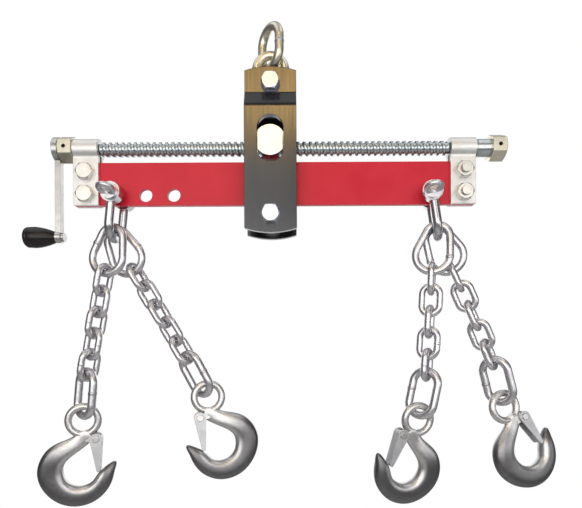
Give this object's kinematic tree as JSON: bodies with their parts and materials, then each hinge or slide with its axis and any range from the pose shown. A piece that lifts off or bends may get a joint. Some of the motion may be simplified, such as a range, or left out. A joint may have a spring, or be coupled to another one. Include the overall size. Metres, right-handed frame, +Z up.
{
  "type": "engine load leveler",
  "caption": "Screw-driven load leveler: a crank turns a lead screw that slides the load bar through a lifting trolley, and shackles carry chain slings with latched hooks.",
  "frame": {"origin": "the bearing point inside the top of the upper lift link, where a crane hook carries the part", "axes": "+Z up, +X along the bar away from the crank, -Y the front that the picture shows"},
  "size_m": [0.5999, 0.0751, 0.54],
  "materials": {
    "bright_zinc": "bright zinc plate",
    "forged_zinc": "satin zinc on a forging",
    "red_paint": "gloss paint",
    "black_paint": "gloss paint",
    "black_plastic": "satin moulding"
  },
  "bodies": {
    "upper_link": {"upper_lift_link": "bright_zinc"},
    "lower_link": {"lower_lift_link": "bright_zinc"},
    "trolley": {"trolley_front_plate": "black_paint", "trolley_rear_plate": "black_paint", "trunnion_nut": "bright_zinc", "trolley_fasteners": "bright_zinc"},
    "roller": {"load_roller": "bright_zinc"},
    "bar": {"load_bar": "red_paint", "left_screw_bracket": "bright_zinc", "right_screw_bracket": "bright_zinc", "screw_bushes": "bright_zinc", "bracket_fasteners": "bright_zinc"},
    "screw": {"lead_screw": "bright_zinc", "crank_hub": "bright_zinc", "drive_hex": "bright_zinc", "thrust_collar": "bright_zinc", "roll_pins": "bright_zinc", "crank_arm": "bright_zinc", "knob_spindle": "bright_zinc"},
    "knob": {"crank_knob": "black_plastic"},
    "left_shackle": {"left_shackle": "bright_zinc", "left_shackle_pin": "bright_zinc"},
    "right_shackle": {"right_shackle": "bright_zinc", "right_shackle_pin": "bright_zinc"},
    "pear_link_1": {"pear_link_1": "bright_zinc"},
    "chain_1_link_1": {"chain_1_link_1": "bright_zinc"},
    "chain_1_link_2": {"chain_1_link_2": "bright_zinc"},
    "chain_1_link_3": {"chain_1_link_3": "bright_zinc"},
    "chain_1_link_4": {"chain_1_link_4": "bright_zinc"},
    "chain_1_link_5": {"chain_1_link_5": "bright_zinc"},
    "end_link_1": {"end_link_1": "bright_zinc"},
    "hook_1": {"hook_1": "forged_zinc"},
    "latch_1": {"latch_1": "bright_zinc"},
    "pear_link_2": {"pear_link_2": "bright_zinc"},
    "chain_2_link_1": {"chain_2_link_1": "bright_zinc"},
    "chain_2_link_2": {"chain_2_link_2": "bright_zinc"},
    "chain_2_link_3": {"chain_2_link_3": "bright_zinc"},
    "chain_2_link_4": {"chain_2_link_4": "bright_zinc"},
    "chain_2_link_5": {"chain_2_link_5": "bright_zinc"},
    "end_link_2": {"end_link_2": "bright_zinc"},
    "hook_2": {"hook_2": "forged_zinc"},
    "latch_2": {"latch_2": "bright_zinc"},
    "pear_link_3": {"pear_link_3": "bright_zinc"},
    "chain_3_link_1": {"chain_3_link_1": "bright_zinc"},
    "chain_3_link_2": {"chain_3_link_2": "bright_zinc"},
    "chain_3_link_3": {"chain_3_link_3": "bright_zinc"},
    "chain_3_link_4": {"chain_3_link_4": "bright_zinc"},
    "chain_3_link_5": {"chain_3_link_5": "bright_zinc"},
    "end_link_3": {"end_link_3": "bright_zinc"},
    "hook_3": {"hook_3": "forged_zinc"},
    "latch_3": {"latch_3": "bright_zinc"},
    "pear_link_4": {"pear_link_4": "bright_zinc"},
    "chain_4_link_1": {"chain_4_link_1": "bright_zinc"},
    "chain_4_link_2": {"chain_4_link_2": "bright_zinc"},
    "chain_4_link_3": {"chain_4_link_3": "bright_zinc"},
    "chain_4_link_4": {"chain_4_link_4": "bright_zinc"},
    "chain_4_link_5": {"chain_4_link_5": "bright_zinc"},
    "end_link_4": {"end_link_4": "bright_zinc"},
    "hook_4": {"hook_4": "forged_zinc"},
    "latch_4": {"latch_4": "bright_zinc"}
  },
  "joints": [
    {"name": "lower_link_swing", "type": "hinge", "parent": "upper_link", "child": "lower_link", "pos_m": [0, 0, -0.04], "axis": [0.6293, -0.7771, 0], "range_deg": [-8, 8]},
    {"name": "trolley_tilt", "type": "hinge", "parent": "lower_link", "child": "trolley", "pos_m": [0, 0, -0.0641], "axis": [0, 1, 0], "range_deg": [-13, 13]},
    {"name": "bar_slide", "type": "slide", "parent": "trolley", "child": "bar", "axis": [1, 0, 0], "range_m": [-0.1055, 0.1055]},
    {"name": "screw_turn", "type": "hinge", "parent": "bar", "child": "screw", "pos_m": [0, 0, -0.1315], "axis": [1, 0, 0], "range_deg": [-5400, 5400]},
    {"name": "roller_turn", "type": "hinge", "parent": "trolley", "child": "roller", "pos_m": [0, 0, -0.2103], "axis": [0, 1, 0], "range_deg": [-415, 415]},
    {"name": "knob_spin", "type": "hinge", "parent": "screw", "child": "knob", "pos_m": [-0.2418, 0, -0.2295], "axis": [1, 0, 0], "continuous": true},
    {"name": "left_shackle_swing", "type": "hinge", "parent": "bar", "child": "left_shackle", "pos_m": [-0.172, 0, -0.18445], "axis": [0.0872, 0.9962, 0], "range_deg": [-18, 18]},
    {"name": "right_shackle_swing", "type": "hinge", "parent": "bar", "child": "right_shackle", "pos_m": [0.18, 0, -0.18445], "axis": [0.1908, 0.9816, 0], "range_deg": [-18, 18]},
    {"name": "pear_1_swing", "type": "hinge", "parent": "left_shackle", "child": "pear_link_1", "pos_m": [-0.17734, -0.00536, -0.23061], "axis": [0.0872, 0.9962, 0], "range_deg": [-6, 20]},
    {"name": "chain_1_link_1_swing", "type": "hinge", "parent": "pear_link_1", "child": "chain_1_link_1", "pos_m": [-0.18573, -0.00556, -0.27118], "axis": [-0.9531, 0.2079, 0.22], "range_deg": [-22, 22]},
    {"name": "chain_1_link_2_swing", "type": "hinge", "parent": "chain_1_link_1", "child": "chain_1_link_2", "pos_m": [-0.18978, -0.00556, -0.29413], "axis": [0.3689, 0.9272, -0.0651], "range_deg": [-22, 22]},
    {"name": "chain_1_link_3_swing", "type": "hinge", "parent": "chain_1_link_2", "child": "chain_1_link_3", "pos_m": [-0.19393, -0.00556, -0.31766], "axis": [0.894, -0.4195, -0.1576], "range_deg": [-22, 22]},
    {"name": "chain_1_link_4_swing", "type": "hinge", "parent": "chain_1_link_3", "child": "chain_1_link_4", "pos_m": [-0.19808, -0.00556, -0.3412], "axis": [0.4563, 0.8862, -0.0805], "range_deg": [-22, 22]},
    {"name": "chain_1_link_5_swing", "type": "hinge", "parent": "chain_1_link_4", "child": "chain_1_link_5", "pos_m": [-0.20223, -0.00556, -0.36474], "axis": [0.8494, -0.506, -0.1498], "range_deg": [-22, 22]},
    {"name": "end_link_1_swing", "type": "hinge", "parent": "chain_1_link_5", "child": "end_link_1", "pos_m": [-0.20638, -0.00556, -0.38827], "axis": [0.5392, 0.8368, -0.0951], "range_deg": [-22, 22]},
    {"name": "hook_1_swing", "type": "hinge", "parent": "end_link_1", "child": "hook_1", "pos_m": [-0.21044, -0.00556, -0.43466], "axis": [-0.2585, 0.9659, 0.0135], "range_deg": [-30, 30]},
    {"name": "latch_1_open", "type": "hinge", "parent": "hook_1", "child": "latch_1", "pos_m": [-0.19753, -0.0018, -0.45586], "axis": [-0.2585, 0.9659, 0.0135], "range_deg": [0, 32], "stiffness_Nm_per_rad": 0.02, "springref_deg": -22.92},
    {"name": "pear_2_swing", "type": "hinge", "parent": "left_shackle", "child": "pear_link_2", "pos_m": [-0.17633, 0.0062, -0.23061], "axis": [0.0872, 0.9962, 0], "range_deg": [-20, 6]},
    {"name": "chain_2_link_1_swing", "type": "hinge", "parent": "pear_link_2", "child": "chain_2_link_1", "pos_m": [-0.15557, 0.006, -0.26763], "axis": [-0.8637, 0.2079, -0.4592], "range_deg": [-22, 22]},
    {"name": "chain_2_link_2_swing", "type": "hinge", "parent": "chain_2_link_1", "child": "chain_2_link_2", "pos_m": [-0.14357, 0.006, -0.2876], "axis": [0.3211, 0.9272, 0.1929], "range_deg": [-22, 22]},
    {"name": "chain_2_link_3_swing", "type": "hinge", "parent": "chain_2_link_2", "child": "chain_2_link_3", "pos_m": [-0.13133, 0.006, -0.30813], "axis": [0.7759, -0.4289, 0.4625], "range_deg": [-22, 22]},
    {"name": "chain_2_link_4_swing", "type": "hinge", "parent": "chain_2_link_3", "child": "chain_2_link_4", "pos_m": [-0.11917, 0.006, -0.3287], "axis": [0.4147, 0.8763, 0.2452], "range_deg": [-22, 22]},
    {"name": "chain_2_link_5_swing", "type": "hinge", "parent": "chain_2_link_4", "child": "chain_2_link_5", "pos_m": [-0.10707, 0.006, -0.34931], "axis": [0.7299, -0.5329, 0.4282], "range_deg": [-22, 22]},
    {"name": "end_link_2_swing", "type": "hinge", "parent": "chain_2_link_5", "child": "end_link_2", "pos_m": [-0.09505, 0.006, -0.36997], "axis": [0.5031, 0.8131, 0.2928], "range_deg": [-22, 22]},
    {"name": "hook_2_swing", "type": "hinge", "parent": "end_link_2", "child": "hook_2", "pos_m": [-0.07343, 0.006, -0.41064], "axis": [0.2511, -0.9659, 0.0626], "range_deg": [-30, 30]},
    {"name": "latch_2_open", "type": "hinge", "parent": "hook_2", "child": "latch_2", "pos_m": [-0.08206, 0.00225, -0.43392], "axis": [0.2511, -0.9659, 0.0626], "range_deg": [0, 32], "stiffness_Nm_per_rad": 0.02, "springref_deg": -22.92},
    {"name": "pear_3_swing", "type": "hinge", "parent": "right_shackle", "child": "pear_link_3", "pos_m": [0.18523, -0.00693, -0.23041], "axis": [0.1908, 0.9816, 0], "range_deg": [-6, 20]},
    {"name": "chain_3_link_1_swing", "type": "hinge", "parent": "pear_link_3", "child": "chain_3_link_1", "pos_m": [0.17816, -0.00773, -0.27135], "axis": [-0.9448, 0.2079, 0.2532], "range_deg": [-22, 22]},
    {"name": "chain_3_link_2_swing", "type": "hinge", "parent": "chain_3_link_1", "child": "chain_3_link_2", "pos_m": [0.17694, -0.00773, -0.29462], "axis": [0.3741, 0.9272, -0.0196], "range_deg": [-22, 22]},
    {"name": "chain_3_link_3_swing", "type": "hinge", "parent": "chain_3_link_2", "child": "chain_3_link_3", "pos_m": [0.17561, -0.00773, -0.31848], "axis": [0.9049, -0.4226, -0.0506], "range_deg": [-22, 22]},
    {"name": "chain_3_link_4_swing", "type": "hinge", "parent": "chain_3_link_3", "child": "chain_3_link_4", "pos_m": [0.17419, -0.00773, -0.34234], "axis": [0.4686, 0.8829, -0.0278], "range_deg": [-22, 22]},
    {"name": "chain_3_link_5_swing", "type": "hinge", "parent": "chain_3_link_4", "child": "chain_3_link_5", "pos_m": [0.17269, -0.00773, -0.36619], "axis": [0.8555, -0.515, -0.0538], "range_deg": [-22, 22]},
    {"name": "end_link_3_swing", "type": "hinge", "parent": "chain_3_link_5", "child": "end_link_3", "pos_m": [0.1711, -0.00773, -0.39004], "axis": [0.558, 0.829, -0.0371], "range_deg": [-22, 22]},
    {"name": "hook_3_swing", "type": "hinge", "parent": "end_link_3", "child": "hook_3", "pos_m": [0.16155, -0.00773, -0.43498], "axis": [0.2488, -0.9659, -0.0713], "range_deg": [-30, 30]},
    {"name": "latch_3_open", "type": "hinge", "parent": "hook_3", "child": "latch_3", "pos_m": [0.14244, -0.01148, -0.45082], "axis": [0.2488, -0.9659, -0.0713], "range_deg": [0, 32], "stiffness_Nm_per_rad": 0.02, "springref_deg": -22.92},
    {"name": "pear_4_swing", "type": "hinge", "parent": "right_shackle", "child": "pear_link_4", "pos_m": [0.18745, 0.00446, -0.23041], "axis": [0.1908, 0.9816, 0], "range_deg": [-20, 6]},
    {"name": "chain_4_link_1_swing", "type": "hinge", "parent": "pear_link_4", "child": "chain_4_link_1", "pos_m": [0.20587, 0.00466, -0.26865], "axis": [-0.8715, 0.2079, -0.4441], "range_deg": [-22, 22]},
    {"name": "chain_4_link_2_swing", "type": "hinge", "parent": "chain_4_link_1", "child": "chain_4_link_2", "pos_m": [0.21534, 0.00466, -0.28993], "axis": [0.3422, 0.9272, 0.1524], "range_deg": [-22, 22]},
    {"name": "chain_4_link_3_swing", "type": "hinge", "parent": "chain_4_link_2", "child": "chain_4_link_3", "pos_m": [0.22484, 0.00466, -0.31187], "axis": [0.8213, -0.4462, 0.3554], "range_deg": [-22, 22]},
    {"name": "chain_4_link_4_swing", "type": "hinge", "parent": "chain_4_link_3", "child": "chain_4_link_4", "pos_m": [0.2341, 0.00466, -0.3339], "axis": [0.4748, 0.8572, 0.1996], "range_deg": [-22, 22]},
    {"name": "chain_4_link_5_swing", "type": "hinge", "parent": "chain_4_link_4", "child": "chain_4_link_5", "pos_m": [0.24313, 0.00466, -0.35603], "axis": [0.7538, -0.5807, 0.3076], "range_deg": [-22, 22]},
    {"name": "end_link_4_swing", "type": "hinge", "parent": "chain_4_link_5", "child": "end_link_4", "pos_m": [0.25193, 0.00466, -0.37825], "axis": [0.5976, 0.766, 0.2366], "range_deg": [-22, 22]},
    {"name": "hook_4_swing", "type": "hinge", "parent": "end_link_4", "child": "hook_4", "pos_m": [0.26315, 0.00466, -0.42327], "axis": [-0.2306, 0.9659, -0.1175], "range_deg": [-30, 30]},
    {"name": "latch_4_open", "type": "hinge", "parent": "hook_4", "child": "latch_4", "pos_m": [0.28494, 0.00842, -0.43518], "axis": [-0.2306, 0.9659, -0.1175], "range_deg": [0, 32], "stiffness_Nm_per_rad": 0.02, "springref_deg": -22.92}
  ],
  "couplings": [
    {"joint": "bar_slide", "follows": "screw_turn", "m_per_rad": 0.0011141},
    {"joint": "roller_turn", "follows": "screw_turn", "ratio": 0.074272}
  ]
}
